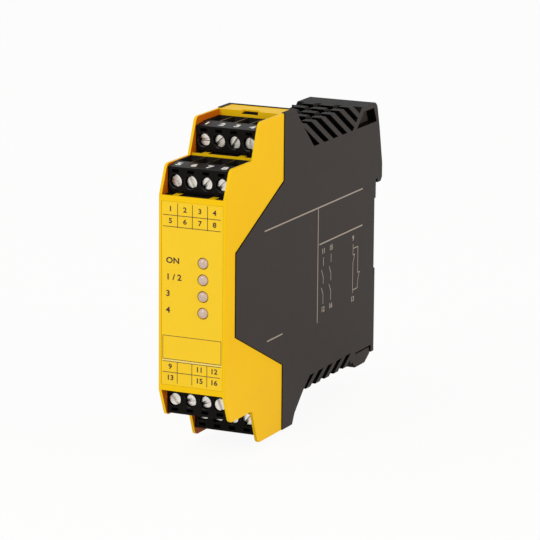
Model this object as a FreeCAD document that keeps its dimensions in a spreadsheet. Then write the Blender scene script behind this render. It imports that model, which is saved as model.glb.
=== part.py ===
import FreeCAD, Part
import Sketcher
import math
import os
from types import SimpleNamespace

# Safety relay module for a 35 mm rail, width along X, depth along Y, height along Z.
# The origin is the centre of the rail seat: the seat plane is Y = 0, the front face is at -front_depth,
# and Z = 0 is the rail's centre line.

SIZES = [
    # whole module
    ("module_width", 22.5, "across the black housing"),
    ("front_depth", 109.6, "front face to rail seat"),
    ("centre_up", 0.7, "middle of the stepped body above the rail's centre line"),
    ("side_wall", 1.2, "black side wall"),
    ("cover_wall", 0.9, "yellow side wall, shelves and steps"),
    ("seam", 0.08, "gap between cover and housing edges"),
    ("reach", 1.0, "how far a cut starts or ends outside its piece"),
    ("bite", 0.5, "how far a joined form reaches into its neighbour"),
    # yellow cover, depths from the front face, heights from the body's middle
    ("front_half", 29.65, "front plate half height, top of the first shelf"),
    ("front_plate", 1.5, "front plate thickness"),
    ("first_tip", 3.7, "depth of the first tier's front corner"),
    ("first_half", 38.35, "half height of the first tier's side wall"),
    ("second_foot", 18.8, "depth where the side wall rises to the second tier"),
    ("second_tip", 23.1, "depth of the second tier's front corner"),
    ("top_half", 49.3, "half height of the second tier's side wall"),
    ("cover_rear", 39.85, "depth of the side wall's rear edge"),
    ("flank_half", 28.7, "half height where the black flank meets the rear edge"),
    ("flank_tip", 6.5, "depth of the black flank's front edge"),
    ("flank_tip_half", 12.85, "half height of the black flank's front edge"),
    ("tip_round", 2.2, "rounding of the tier corners"),
    ("top_wall_face", 38.5, "depth of the wall behind the second tier"),
    ("top_wall_high", 2.0, "height of that wall"),
    ("top_plate", 1.0, "thickness of the cover's top plate"),
    ("top_plate_rear", 46.85, "rear edge of the cover's top plate"),
    ("window_half", 2.9, "half width of the latch window"),
    ("window_rear", 40.6, "rear edge of the latch window"),
    ("window_sill", 1.2, "depth of the latch window below the top"),
    # front label and lights
    ("label_half", 27.9, "half height of the label"),
    ("label_wide", 20.2, "label width"),
    ("label_recess", 0.25, "depth of the label's recess"),
    ("label_film", 0.2, "label thickness"),
    ("label_gap", 0.05, "gap around the label"),
    ("lamp_size", 3.4, "light diameter"),
    ("lamp_across", 3.55, "lights right of the middle"),
    ("lamp_up", 10.2, "first light above the body's middle"),
    ("lamp_pitch", 5.04, "spacing of the lights"),
    ("lamp_count", 4, "number of lights"),
    ("lamp_out", 0.7, "how far the dome stands out"),
    ("lamp_shoulder", 0.3, "depth where a light's dome starts"),
    ("lamp_tip", 1.8, "diameter of the dome's tip"),
    ("lamp_fit", 0.08, "gap round each light"),
    # tiers and plugs, in each plug's own frame: Y from its face, Z from its seat
    ("first_face", 3.8, "first plug's face behind the front face"),
    ("tier_back", 18.7, "second tier behind the first"),
    ("tier_rise", 9.2, "second tier above the first"),
    ("plug_gap", 0.1, "running gap round a plug"),
    ("pole_pitch", 5.0, "spacing of the poles"),
    ("feet", 0.75, "height of the plug's feet"),
    ("foot_wide", 1.7, "width of a foot"),
    ("foot_short", 1.0, "rear end of a foot in front of the tower's rear"),
    ("foot_across", 6.0, "foot centres from the middle"),
    ("face_high", 7.8, "top edge of the plug's face"),
    ("strip_deep", 5.8, "depth of the printed strip"),
    ("plug_high", 8.5, "top of the plug"),
    ("tower_deep", 15.5, "depth of the plug's tower"),
    ("funnel_rim", 0.3, "rim round the wire funnels"),
    ("mouth_wide", 2.6, "wire hole width"),
    ("mouth_long", 2.0, "wire hole depth"),
    ("nose_long", 7.2, "length of the mating nose"),
    ("nose_high", 6.8, "top of the nose"),
    ("nose_wide", 18.0, "width of the nose"),
    ("well_size", 4.2, "screw well diameter"),
    ("well_up", 3.45, "screw axis above the seat"),
    ("test_up", 6.55, "test hole above the seat"),
    ("test_wide", 2.2, "test hole width"),
    ("test_high", 1.0, "test hole height"),
    ("test_deep", 3.0, "test hole depth"),
    # clamp screws, cages and contacts
    ("head_size", 3.6, "screw head diameter"),
    ("head_recess", 1.5, "head below the plug's face"),
    ("head_high", 1.6, "head height"),
    ("slot_wide", 0.65, "screwdriver slot width"),
    ("slot_deep", 0.8, "screwdriver slot depth"),
    ("shank_size", 2.5, "screw thread diameter"),
    ("shank_long", 6.7, "screw shank length"),
    ("shank_fit", 0.08, "radial gap round the shank"),
    ("backed_out", 1.1, "how far a slack screw stands out"),
    ("cage_wide", 3.8, "clamp cage width"),
    ("cage_high", 3.9, "clamp cage height"),
    ("cage_start", 6.2, "cage front, clamp open"),
    ("cage_long", 7.4, "cage length"),
    ("cage_side", 0.6, "cage side thickness"),
    ("cage_end", 0.8, "cage end thickness"),
    ("cage_travel", 1.9, "cage travel from open to shut"),
    ("cage_gap", 0.1, "gap round the cage"),
    ("contact_wide", 2.2, "contact width"),
    ("contact_thick", 0.8, "clamping bar thickness"),
    ("leg_thick", 0.5, "contact leg thickness"),
    ("leg_rise", 1.2, "step of the contact leg in the nose"),
    ("riser_gap", 1.0, "riser of the contact leg behind the tower"),
    ("bar_gap", 0.1, "gap between screw tip and bar"),
    ("contact_gap", 0.05, "gap between pin and contact tongue"),
    ("tongue_short", 0.4, "contact tongue's end inside the nose"),
    # headers and pins
    ("header_front", 15.9, "header's front face"),
    ("header_wide", 20.0, "header width"),
    ("header_high", 8.0, "header height"),
    ("header_rear", 1.1, "header rear wall"),
    ("nose_gap", 0.15, "gap between nose and header"),
    ("pin_size", 0.7, "pin thickness"),
    ("pin_up", 3.0, "pin above the seat"),
    ("pin_reach", 5.5, "pin length in the socket"),
    ("pin_step", 1.05, "spacing of the pins' bends"),
    ("pin_free", 0.2, "first bend behind the header"),
    # boards and relays
    ("board_thick", 1.6, "circuit board thickness"),
    ("board_gap", 0.15, "board from the side wall"),
    ("pin_hole", 0.9, "square board hole for a pin"),
    ("lamp_board_depth", 5.0, "light board behind the front face"),
    ("board_front_half", 20.0, "board half height at the light board"),
    ("board_neck", 4.0, "length of the board's neck"),
    ("board_flare", 4.0, "length of the slope behind the neck"),
    ("board_mid_half", 27.5, "board half height behind the front plate"),
    ("board_rear_half", 33.0, "board half height between the vents"),
    ("board_rear", 100.0, "board rear edge"),
    ("board_top_half", 42.6, "board half height behind the second headers"),
    ("board_top_rear", 51.2, "depth where the board's slope starts"),
    ("board_edge_gap", 0.8, "board from the shelves"),
    ("relay_long", 40.0, "relay length"),
    ("relay_high", 13.0, "relay height"),
    ("relay_wide", 16.0, "relay width"),
    ("relay_front", 50.0, "relay front end"),
    ("relay_apart", 4.0, "gap between the relays"),
    ("can_size", 10.0, "capacitor diameter"),
    ("can_long", 12.5, "capacitor length"),
    ("can_depth", 22.0, "capacitor axis behind the front face"),
    ("can_apart", 16.0, "spacing of the capacitors"),
    # black housing, depths from the front face, heights from the rail's centre line
    ("roof", 50.2, "top of the housing"),
    ("roof_rear", 47.9, "rear edge of the top"),
    ("roof_break", 51.1, "depth where the rear slope starts"),
    ("roof_break_up", 45.9, "height where the rear slope starts"),
    ("slope_foot", 61.4, "foot of the slope"),
    ("vent_line", 36.4, "top edge of the side wall under the vents"),
    ("block_front", 90.8, "foot of the rear block's slanted front"),
    ("block_top_front", 97.75, "top front edge of the rear block"),
    ("block_top", 42.8, "top of the rear block"),
    ("block_rear", 109.6, "top rear edge of the rear block"),
    ("block_round", 3.2, "rounding of the rear block"),
    ("shoulder_deep", 112.0, "depth of the hook's shoulder"),
    ("shoulder_up", 34.0, "height of the hook's shoulder"),
    ("hook_rear", 114.5, "rear of the rail hook"),
    ("hook_up", 22.0, "height of the hook's rear corner"),
    ("hook_low", 16.3, "underside of the hook"),
    ("hook_lead", 1.2, "bevel at the hook's lower corner"),
    ("hook_slot", 1.3, "slot that takes the rail's edge"),
    ("hook_slot_top", 17.6, "top of that slot"),
    ("seat_relief", 0.9, "relief between the seat lands"),
    ("relief_half", 11.5, "half height of the relief"),
    ("rear_foot", -39.0, "lower end of the rear land"),
    ("rear_foot_front", 107.4, "front of the rear land's foot"),
    ("recess_up", -36.6, "lower edge over the catch foot"),
    ("recess_front", 95.1, "front end of that edge"),
    ("sill", -39.4, "underside behind the lower vents"),
    ("sill_front", 91.2, "rear end of the lower vents"),
    ("sill_long", 2.4, "length of that underside"),
    ("low_vent_line", -35.85, "lower edge of the side wall over the vents"),
    ("low_vent_front", 60.1, "front end of the lower vents"),
    ("low_break", 55.0, "rear end of the lower slope"),
    ("low_break_up", -39.7, "height of that end"),
    ("low_slope", 48.9, "front end of the lower slope"),
    ("low_slope_up", -45.35, "height of that end"),
    ("keel_rear", 47.2, "rear edge of the underside"),
    ("keel_wall", 1.15, "lower slope's wall along the depth"),
    ("keel", -48.6, "underside of the front part"),
    ("cavity_rear", 104.6, "rear end of the inner space"),
    ("cavity_up", 35.2, "ceiling under the rear block"),
    ("cavity_low", -34.0, "floor over the catch foot"),
    ("block_pocket", 3.0, "depth of the rear block's side pockets"),
    ("block_rim", 2.4, "rim behind those pockets"),
    ("pocket_drop", 1.7, "pocket below the block's top"),
    ("pocket_lead", 3.1, "pocket behind the foot of the slanted front"),
    ("pocket_top_lead", 1.6, "pocket behind the top front edge"),
    ("roof_wall", 2.6, "roof thickness behind the cover's top plate"),
    ("slope_wall", 0.72, "wall under the head of the rear slope"),
    ("low_wall", 0.6, "wall in front of the lower vents' ceiling"),
    # vents
    ("vent_rim", 0.2, "rim in front of the upper vents"),
    ("low_vent_rim", 0.4, "rim in front of the lower vents"),
    ("vent_end", 0.8, "wall behind the vents"),
    ("slat_first", 52.2, "first ridge behind the front face"),
    ("slat_pitch", 6.95, "spacing of the slats"),
    ("slat_count", 6, "number of upper slats"),
    ("slat_thick", 3.3, "slat thickness along the depth"),
    ("slat_top", 44.4, "top of the slats"),
    ("slat_run", 1.675, "slope of the slats, depth for each millimetre of height"),
    ("slat_sink", 0.6, "how far a slat reaches into the side walls"),
    ("web_thick", 1.1, "web between the slats"),
    ("web_across", 6.75, "spacing of the webs"),
    ("web_start", 1.5, "front end of the webs behind the first ridge"),
    ("groove_wide", 2.1, "groove through the ridges"),
    ("groove_deep", 1.2, "depth of the grooves"),
    ("low_slat_first", 57.2, "first lower slat tip"),
    ("low_slat_pitch", 7.0, "spacing of the lower slats"),
    ("low_slat_count", 5, "number of lower slats"),
    ("low_slat_tip", -39.6, "tips of the lower slats"),
    # rail foot catch and its spring
    ("catch_wide", 9.0, "catch width at the rear"),
    ("catch_flange", 1.5, "flange on each side"),
    ("catch_front", 105.9, "front face of the catch plate"),
    ("catch_mid", 107.2, "rear face of the flanges"),
    ("catch_rear", 109.2, "rear face of the catch"),
    ("catch_gap", 0.15, "gap round the catch"),
    ("tooth_top", -18.1, "top of the catch tooth"),
    ("tooth_low", -19.9, "underside of the tooth"),
    ("tooth_rear", 111.5, "rear of the tooth"),
    ("catch_foot_front", 94.2, "front end of the pull foot"),
    ("catch_foot_low", -41.7, "underside of the pull foot"),
    ("pull_gap", 0.6, "gap over the pull foot"),
    ("pull_step", 0.4, "root of the pull foot below the rear land"),
    ("pull_slope", 4.0, "length of its slanted root"),
    ("pull_bevel", 1.6, "bevels of its front end"),
    ("arm_high", 1.5, "spring arm thickness"),
    ("arm_wide", 4.6, "spring arm width"),
    ("arm_drop", 2.0, "spring arm below the tooth's top"),
    ("spring_size", 4.0, "spring diameter"),
    ("wire_size", 0.6, "spring wire"),
    ("spring_turns", 5, "turns of the spring"),
    ("spring_depth", 102.2, "spring axis behind the front face"),
    ("catch_travel", 3.0, "how far the catch pulls down"),
    # latch tongues under the cover's top and bottom plates
    ("latch_half", 2.3, "half width of a latch tongue"),
    ("latch_thick", 1.1, "latch tongue thickness"),
    ("latch_gap", 0.1, "gap between latch nose and window"),
    ("latch_nose", 1.0, "length of the latch nose"),
    ("latch_rise", 0.6, "height of the latch nose"),
]

doc = FreeCAD.newDocument("safety_relay")
sheet = doc.addObject("Spreadsheet::Sheet", "sizes")
for row, (alias, value, note) in enumerate(SIZES, 1):
    sheet.set(f"A{row}", note)
    sheet.set(f"B{row}", str(value))
    sheet.setAlias(f"B{row}", alias)
doc.recompute()


class Size:
    """A length that knows its number and the sheet expression it comes from."""

    def __init__(self, value, text=None):
        self.value = value
        self.text = text or f"({value!r})"

    def combined(self, other, sign, swap=False):
        other = other if isinstance(other, Size) else Size(other)
        left, right = (other, self) if swap else (self, other)
        number = {
            "+": lambda: left.value + right.value,
            "-": lambda: left.value - right.value,
            "*": lambda: left.value * right.value,
            "/": lambda: left.value / right.value,
        }[sign]()
        return Size(number, f"({left.text} {sign} {right.text})")

    def __add__(self, other):
        return self.combined(other, "+")

    def __radd__(self, other):
        return self.combined(other, "+", swap=True)

    def __sub__(self, other):
        return self.combined(other, "-")

    def __rsub__(self, other):
        return self.combined(other, "-", swap=True)

    def __mul__(self, other):
        return self.combined(other, "*")

    def __rmul__(self, other):
        return self.combined(other, "*", swap=True)

    def __truediv__(self, other):
        return self.combined(other, "/")

    def __neg__(self):
        return 0 - self


s = SimpleNamespace(**{alias: Size(value, f"sizes.{alias}") for alias, value, note in SIZES})
pieces = []
cuts = []


# ---- drawing helpers ----

def bind(item, path, size):
    item.setExpression(path, (size if isinstance(size, Size) else Size(size)).text)


def put(item, x=0, y=0, z=0, turned=0):
    """Places an object at (x, y, z), turned about the Y axis by some degrees."""
    item.Placement = FreeCAD.Placement(
        FreeCAD.Vector(0, 0, 0), FreeCAD.Rotation(FreeCAD.Vector(0, 1, 0), turned)
    )
    for axis, place in zip("xyz", (x, y, z)):
        bind(item, f"Placement.Base.{axis}", place)


def new_body(label, shown=True, **place):
    """A body with its own label. One that isn't shown is only the pattern for its copies."""
    body = doc.addObject("PartDesign::Body", label)
    body.Label = label
    body.AllowCompound = True
    put(body, **place)
    if shown:
        pieces.append(body)
    return body


def copy_of(body, label, **place):
    """A linked copy of a body, with a label and a place of its own."""
    link = doc.addObject("App::Link", label)
    link.Label = label
    link.LinkedObject = body
    put(link, **place)
    pieces.append(link)


def number(size):
    return size.value if isinstance(size, Size) else size


def place_rule(kind, shape, point, size):
    """Holds one coordinate of a shape's point, measured from the sketch's origin."""
    return Sketcher.Constraint(kind, -1, 1, shape, point, number(size))


def sketch(body, name, role, loops, circles=(), offset=0):
    """A sketch on one of the body's origin planes. Loops are lists of corners, circles (u, v, diameter)."""
    drawing = body.newObject("Sketcher::SketchObject", name)
    plane = next(f for f in body.Origin.OriginFeatures if f.Role == role)
    drawing.AttachmentSupport = [(plane, "")]
    drawing.MapMode = "FlatFace"
    bind(drawing, "AttachmentOffset.Base.z", offset)
    shapes = []
    rules = []
    for loop in loops:
        corners = [FreeCAD.Vector(number(u), number(v), 0) for u, v in loop]
        first = len(shapes)
        for index, (u, v) in enumerate(loop):
            following = (index + 1) % len(loop)
            shapes.append(Part.LineSegment(corners[index], corners[following]))
            rules.append((Sketcher.Constraint("Coincident", first + index, 2, first + following, 1), None))
            rules.append((place_rule("DistanceX", first + index, 1, u), u))
            rules.append((place_rule("DistanceY", first + index, 1, v), v))
    for u, v, diameter in circles:
        centre = FreeCAD.Vector(number(u), number(v), 0)
        circle = len(shapes)
        shapes.append(Part.Circle(centre, FreeCAD.Vector(0, 0, 1), number(diameter) / 2))
        rules.append((Sketcher.Constraint("Diameter", circle, number(diameter)), diameter))
        rules.append((place_rule("DistanceX", circle, 3, u), u))
        rules.append((place_rule("DistanceY", circle, 3, v), v))
    drawing.addGeometry(shapes, False)
    drawing.addConstraint([rule for rule, size in rules])
    for index, (rule, size) in enumerate(rules):
        if isinstance(size, Size):
            bind(drawing, f"Constraints[{index}]", size)
    return drawing


def pad(body, name, role, loops, start, end, circles=()):
    """Material from start to end along the axis that the plane faces."""
    base = -1 * end if role == "XZ_Plane" else start
    feature = body.newObject("PartDesign::Pad", name)
    feature.Profile = sketch(body, name + "_outline", role, loops, circles, base)
    bind(feature, "Length", end - start)
    return feature


def pocket(body, name, role, loops, start, end, circles=()):
    """Cuts from start to end along the axis that the plane faces."""
    base = -1 * start if role == "XZ_Plane" else end
    feature = body.newObject("PartDesign::Pocket", name)
    feature.Profile = sketch(body, name + "_outline", role, loops, circles, base)
    bind(feature, "Length", end - start)
    cuts.append(feature)
    return feature


def box(u_low, u_high, v_low, v_high):
    return [(u_low, v_low), (u_high, v_low), (u_high, v_high), (u_low, v_high)]


EIGHTH = math.radians(22.5)


def octagon(u, v, flats):
    """An eight-sided loop around (u, v), which stands for a small round with a thread or a fit."""
    far = flats / 2
    near = far * math.tan(EIGHTH)
    quarter = [(far, near), (near, far)]
    corners = quarter + [(-1 * a, b) for a, b in reversed(quarter)]
    corners += [(-1 * a, -1 * b) for a, b in corners]
    return [(u + a, v + b) for a, b in corners]


def round_edges(body, name, radius, corners):
    """Rounds the edges along X that pass through the given (y, z) corners of the body's last feature."""
    doc.recompute()
    base = body.Tip
    names = []
    for index, edge in enumerate(base.Shape.Edges, 1):
        ends = [vertex.Point for vertex in edge.Vertexes]
        for y, z in corners:
            if len(ends) == 2 and all(math.hypot(p.y - number(y), p.z - number(z)) < 1e-4 for p in ends):
                names.append(f"Edge{index}")
    feature = body.newObject("PartDesign::Fillet", name)
    feature.Base = (base, names)
    bind(feature, "Radius", radius)
    return feature


# ---- places that several pieces share ----

inner_half = s.module_width / 2 - s.side_wall
cover_half = inner_half + s.cover_wall
middle = s.centre_up
poles = [s.pole_pitch * (index - 1.5) for index in range(4)]
first_seat = s.front_half + s.plug_gap
header_end = s.tower_deep + s.nose_long + 2 * s.plug_gap + s.header_rear
second_half = s.front_half + s.tier_rise
lamps = [s.lamp_up - s.lamp_pitch * index for index in range(int(s.lamp_count.value))]
# each tier: the plug's face behind the front face, its seat above the body's middle
TIERS = {
    "front": (s.first_face, first_seat),
    "back": (s.first_face + s.tier_back, first_seat + s.tier_rise),
}
SIDES = {"upper": 1, "lower": -1}


def back(depth):
    """Y of a point that lies `depth` behind the front face."""
    return depth - s.front_depth


def from_front(points):
    """Corners given by their depth and height, as (y, z)."""
    return [(back(depth), height) for depth, height in points]


def mirrored(points):
    """Corners, then their reflections about the body's middle, in the reverse order."""
    return points + [(depth, 2 * middle - height) for depth, height in reversed(points)]


# ---- yellow front cover ----

cover = new_body("front_cover")
cover_side = [
    (s.flank_tip, middle + s.flank_tip_half),
    (s.cover_rear, middle + s.flank_half),
    (s.cover_rear, middle + s.top_half),
    (s.second_tip, middle + s.top_half),
    (s.second_foot, middle + s.first_half),
    (s.first_tip, middle + s.first_half),
    (Size(0), middle + s.front_half),
]
pad(cover, "sides", "YZ_Plane", [from_front(mirrored(cover_side))], -1 * cover_half, cover_half)
tips = [(back(s.second_tip), s.top_half), (back(s.first_tip), s.first_half)]
tip_corners = [(y, middle + sign * half) for y, half in tips for sign in SIDES.values()]
round_edges(cover, "tier_corners", s.tip_round, tip_corners)
tall = s.top_half + s.reach
hollow = box(back(-1 * s.reach), back(s.cover_rear + s.reach), middle - tall, middle + tall)
pocket(cover, "inside", "YZ_Plane", [hollow], -1 * inner_half, inner_half)
plate = box(back(Size(0)), back(s.front_plate), middle - s.front_half, middle + s.front_half)
pad(cover, "front_plate", "YZ_Plane", [plate], -1 * cover_half, cover_half)
for word, sign in SIDES.items():
    shelves = {
        "first_shelf": (Size(0), s.first_face + header_end, s.front_half, s.cover_wall),
        "second_shelf": (s.first_face + s.header_front, s.cover_rear, second_half, s.cover_wall),
        "top_wall": (s.top_wall_face, s.top_wall_face + s.cover_wall, s.top_half, s.top_wall_high),
    }
    for name, (start, end, half, thick) in shelves.items():
        profile = box(back(start), back(end), middle + sign * (half - thick), middle + sign * half)
        pad(cover, f"{word}_{name}", "YZ_Plane", [profile], -1 * cover_half, cover_half)
    profile = box(
        back(s.top_wall_face), back(s.top_plate_rear),
        middle + sign * (s.top_half - s.top_plate), middle + sign * s.top_half,
    )
    pad(cover, f"{word}_top_plate", "YZ_Plane", [profile], s.seam - inner_half, inner_half - s.seam)
    profile = box(
        back(s.top_wall_face - s.reach), back(s.window_rear),
        middle + sign * (s.top_half - s.window_sill), middle + sign * tall,
    )
    pocket(cover, f"{word}_window", "YZ_Plane", [profile], -1 * s.window_half, s.window_half)
lamp_holes = [(s.lamp_across, middle + up, s.lamp_size + 2 * s.lamp_fit) for up in lamps]
front = back(-1 * s.reach)
pocket(cover, "lamp_holes", "XZ_Plane", [], front, back(s.front_plate + s.reach), lamp_holes)
recess = box(-0.5 * s.label_wide, 0.5 * s.label_wide, middle - s.label_half, middle + s.label_half)
pocket(cover, "label_recess", "XZ_Plane", [recess], front, back(s.label_recess))

# ---- front label, seated in the recess ----

label = new_body("front_label")
half_wide = s.label_wide / 2 - s.label_gap
half_high = s.label_half - s.label_gap
film = box(-1 * half_wide, half_wide, middle - half_high, middle + half_high)
film_front = s.label_recess - s.label_film
pad(label, "film", "XZ_Plane", [film], back(film_front), back(s.label_recess), lamp_holes)

# ---- black rear housing ----

housing = new_body("rear_housing")
flank_low = s.flank_half - s.seam * 2
outline = [
    (s.cover_rear + s.seam, s.roof),
    (s.cover_rear + s.seam, middle + flank_low),
    (s.flank_tip + s.seam, middle + s.flank_tip_half - s.seam * 2),
    (s.flank_tip + s.seam, middle - s.flank_tip_half + s.seam * 2),
    (s.cover_rear + s.seam, middle - flank_low),
    (s.cover_rear + s.seam, s.keel),
    (s.keel_rear, s.keel),
    (s.low_slope, s.low_slope_up),
    (s.low_break, s.low_break_up),
    (s.low_vent_front, s.low_vent_line),
    (s.sill_front, s.low_vent_line),
    (s.sill_front, s.sill),
    (s.sill_front + s.sill_long, s.sill),
    (s.recess_front, s.recess_up),
    (s.rear_foot_front, s.recess_up),
    (s.rear_foot_front, s.rear_foot),
    (s.front_depth, s.rear_foot),
    (s.front_depth, -1 * s.relief_half),
    (s.front_depth - s.seat_relief, -1 * s.relief_half),
    (s.front_depth - s.seat_relief, s.relief_half),
    (s.front_depth, s.relief_half),
    (s.front_depth, s.hook_slot_top),
    (s.front_depth + s.hook_slot, s.hook_slot_top),
    (s.front_depth + s.hook_slot, s.hook_low),
    (s.hook_rear - s.hook_lead, s.hook_low),
    (s.hook_rear, s.hook_low + s.hook_lead),
    (s.hook_rear, s.hook_up),
    (s.shoulder_deep, s.shoulder_up),
    (s.block_rear, s.block_top),
    (s.block_top_front, s.block_top),
    (s.block_front, s.vent_line),
    (s.slope_foot, s.vent_line),
    (s.roof_break, s.roof_break_up),
    (s.roof_rear, s.roof),
]
half_width = s.module_width / 2
pad(housing, "shell", "YZ_Plane", [from_front(outline)], -1 * half_width, half_width)
round_edges(housing, "block_corner", s.block_round, [(back(s.block_rear), s.block_top)])
past = s.roof + s.reach
vent_front = s.slope_foot + s.vent_rim
vent_rear = s.block_front - s.vent_end
low_vent = s.low_vent_front + s.low_vent_rim
cavity_front = s.flank_tip - s.reach
ceiling = s.vent_line - s.side_wall
low_ceiling = s.low_vent_line + s.side_wall
cavity = [
    (cavity_front, past),
    (s.top_plate_rear + s.seam, past),
    (s.top_plate_rear + s.seam, s.roof - s.roof_wall),
    (s.roof_break - s.side_wall, s.roof_break_up - s.slope_wall),
    (s.slope_foot - s.side_wall, ceiling),
    (vent_front, ceiling),
    (vent_front, past),
    (vent_rear, past),
    (vent_rear, s.cavity_up),
    (s.cavity_rear, s.cavity_up),
    (s.cavity_rear, s.cavity_low),
    (vent_rear, s.cavity_low),
    (vent_rear, -1 * past),
    (low_vent, -1 * past),
    (low_vent, low_ceiling),
    (s.low_vent_front - s.low_wall, low_ceiling),
    (s.low_break - s.keel_wall, s.low_break_up),
    (s.low_slope - s.keel_wall, s.low_slope_up),
    (s.top_plate_rear + s.seam, s.low_slope_up),
    (s.top_plate_rear + s.seam, -1 * past),
    (cavity_front, -1 * past),
]
pocket(housing, "inside", "YZ_Plane", [from_front(cavity)], -1 * inner_half, inner_half)

# upper louvre: slats that slope down to the rear, grooved ridges, webs along the depth
slat_rise = s.slat_top - s.vent_line + s.slat_sink
slats = []
for index in range(int(s.slat_count.value)):
    ridge = s.slat_first + s.slat_pitch * index
    foot = ridge + slat_rise * s.slat_run
    slats.append([
        (ridge, s.slat_top),
        (ridge + s.slat_thick, s.slat_top),
        (foot + s.slat_thick, s.vent_line - s.slat_sink),
        (foot, s.vent_line - s.slat_sink),
    ])
last_ridge = s.slat_first + s.slat_pitch * (s.slat_count - 1)
for index, slat in enumerate(slats):
    pad(housing, f"slat_{index + 1}", "YZ_Plane", [from_front(slat)], -1 * half_width, half_width)
groove_floor = s.slat_top - s.groove_deep
webs = [-1 * s.web_across, Size(0), s.web_across]
half_groove = s.groove_wide / 2
grooves = [box(x - half_groove, x + half_groove, groove_floor, s.slat_top + s.reach) for x in webs]
groove_rear = last_ridge + s.slat_thick + s.reach
pocket(housing, "grooves", "XZ_Plane", grooves, back(s.slat_first - s.vent_rim), back(groove_rear))
web = [
    (s.slat_first + s.web_start, groove_floor),
    (last_ridge + s.slat_thick, groove_floor),
    (s.block_front, s.vent_line - s.slat_sink),
    (s.slope_foot, s.vent_line - s.slat_sink),
]
low_slats = []
low_rise = s.low_vent_line - s.low_slat_tip + s.slat_sink
for index in range(int(s.low_slat_count.value)):
    tip = s.low_slat_first + s.low_slat_pitch * index
    foot = tip + low_rise * s.slat_run
    low_slats.append([
        (tip, s.low_slat_tip),
        (tip + s.slat_thick, s.low_slat_tip),
        (foot + s.slat_thick, s.low_vent_line + s.slat_sink),
        (foot, s.low_vent_line + s.slat_sink),
    ])
for index, slat in enumerate(low_slats):
    pad(housing, f"low_slat_{index + 1}", "YZ_Plane", [from_front(slat)], -1 * half_width, half_width)
low_web = box(
    back(s.low_break), back(s.sill_front), s.low_slat_tip + s.groove_deep, s.low_vent_line + s.slat_sink
)
for index, x in enumerate(webs):
    low, high = x - s.web_thick / 2, x + s.web_thick / 2
    pad(housing, f"web_{index + 1}", "YZ_Plane", [from_front(web)], low, high)
    pad(housing, f"low_web_{index + 1}", "YZ_Plane", [low_web], low, high)

# side pockets of the rear block
block_pocket = [
    (s.block_front + s.pocket_lead, s.vent_line),
    (s.block_top_front + s.pocket_top_lead, s.block_top - s.pocket_drop),
    (s.block_rear - s.block_rim, s.block_top - s.pocket_drop),
    (s.block_rear, s.vent_line),
]
outside = half_width + s.reach
for name, start, end in (("left", -1 * outside, s.block_pocket - half_width),
                         ("right", half_width - s.block_pocket, outside)):
    pocket(housing, f"{name}_block_pocket", "YZ_Plane", [from_front(block_pocket)], start, end)

# guide for the foot catch, and the window for its spring arm
flange = s.catch_wide / 2 + s.catch_flange + s.catch_gap
stem = s.catch_wide / 2 + s.catch_gap
guide = [
    (-1 * flange, back(s.catch_front - s.catch_gap)),
    (flange, back(s.catch_front - s.catch_gap)),
    (flange, back(s.catch_mid + s.catch_gap)),
    (stem, back(s.catch_mid + s.catch_gap)),
    (stem, back(s.front_depth + s.reach)),
    (-1 * stem, back(s.front_depth + s.reach)),
    (-1 * stem, back(s.catch_mid + s.catch_gap)),
    (-1 * flange, back(s.catch_mid + s.catch_gap)),
]
pocket(housing, "catch_guide", "XY_Plane", [guide], s.rear_foot - s.reach, s.tooth_top + s.catch_gap)
arm_top = s.tooth_top - s.arm_drop
arm_low = arm_top - s.arm_high
arm_half = s.arm_wide / 2 + s.catch_gap
slit_low = arm_low - s.catch_travel - s.catch_gap
slit = box(-1 * arm_half, arm_half, slit_low, arm_top + s.catch_gap)
pocket(housing, "arm_slit", "XZ_Plane", [slit], back(s.cavity_rear - s.bite), back(s.catch_front))

# latch tongues that reach into the cover's windows
for word, sign in SIDES.items():
    under = s.top_half - s.top_plate - s.seam
    latch_front = s.top_wall_face + s.cover_wall + s.latch_gap
    tongue = [
        (latch_front, middle + sign * (under - s.latch_thick)),
        (s.roof_rear, middle + sign * (under - s.latch_thick)),
        (s.roof_rear, middle + sign * under),
        (latch_front + s.latch_nose, middle + sign * under),
        (latch_front + s.latch_nose, middle + sign * (under + s.latch_rise)),
        (latch_front + s.latch_nose / 2, middle + sign * (under + s.latch_rise)),
    ]
    half = s.latch_half
    pad(housing, f"{word}_latch", "YZ_Plane", [from_front(tongue)], -1 * half, half)

# ---- foot catch and its spring ----

catch = new_body("foot_catch")
rails = {
    "flanges": (s.catch_wide / 2 + s.catch_flange, s.catch_front, s.catch_mid),
    "stem": (s.catch_wide / 2, s.catch_front, s.catch_rear),
}
for name, (half, start, end) in rails.items():
    profile = box(-1 * half, half, back(start), back(end))
    pad(catch, name, "XY_Plane", [profile], s.rear_foot, s.tooth_top)
tooth = box(back(s.catch_rear - s.bite), back(s.tooth_rear), s.tooth_low, s.tooth_top)
pad(catch, "tooth", "YZ_Plane", [tooth], -0.5 * s.catch_wide, 0.5 * s.catch_wide)
arm_front = s.spring_depth - s.spring_size / 2
arm = box(back(arm_front), back(s.catch_front + s.bite), arm_low, arm_top)
pad(catch, "arm", "YZ_Plane", [arm], -0.5 * s.arm_wide, 0.5 * s.arm_wide)
foot_top = s.recess_up - s.pull_gap
foot = [
    (s.catch_rear, foot_top),
    (s.catch_rear, s.rear_foot - s.pull_step),
    (s.rear_foot_front, s.rear_foot - s.pull_step),
    (s.rear_foot_front - s.pull_slope, s.catch_foot_low),
    (s.catch_foot_front + s.pull_bevel, s.catch_foot_low),
    (s.catch_foot_front, s.catch_foot_low + s.pull_bevel),
    (s.catch_foot_front, foot_top - s.pull_bevel),
    (s.catch_foot_front + s.pull_bevel, foot_top),
]
pad(catch, "foot", "YZ_Plane", [from_front(foot)], -0.5 * s.catch_wide, 0.5 * s.catch_wide)

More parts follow.
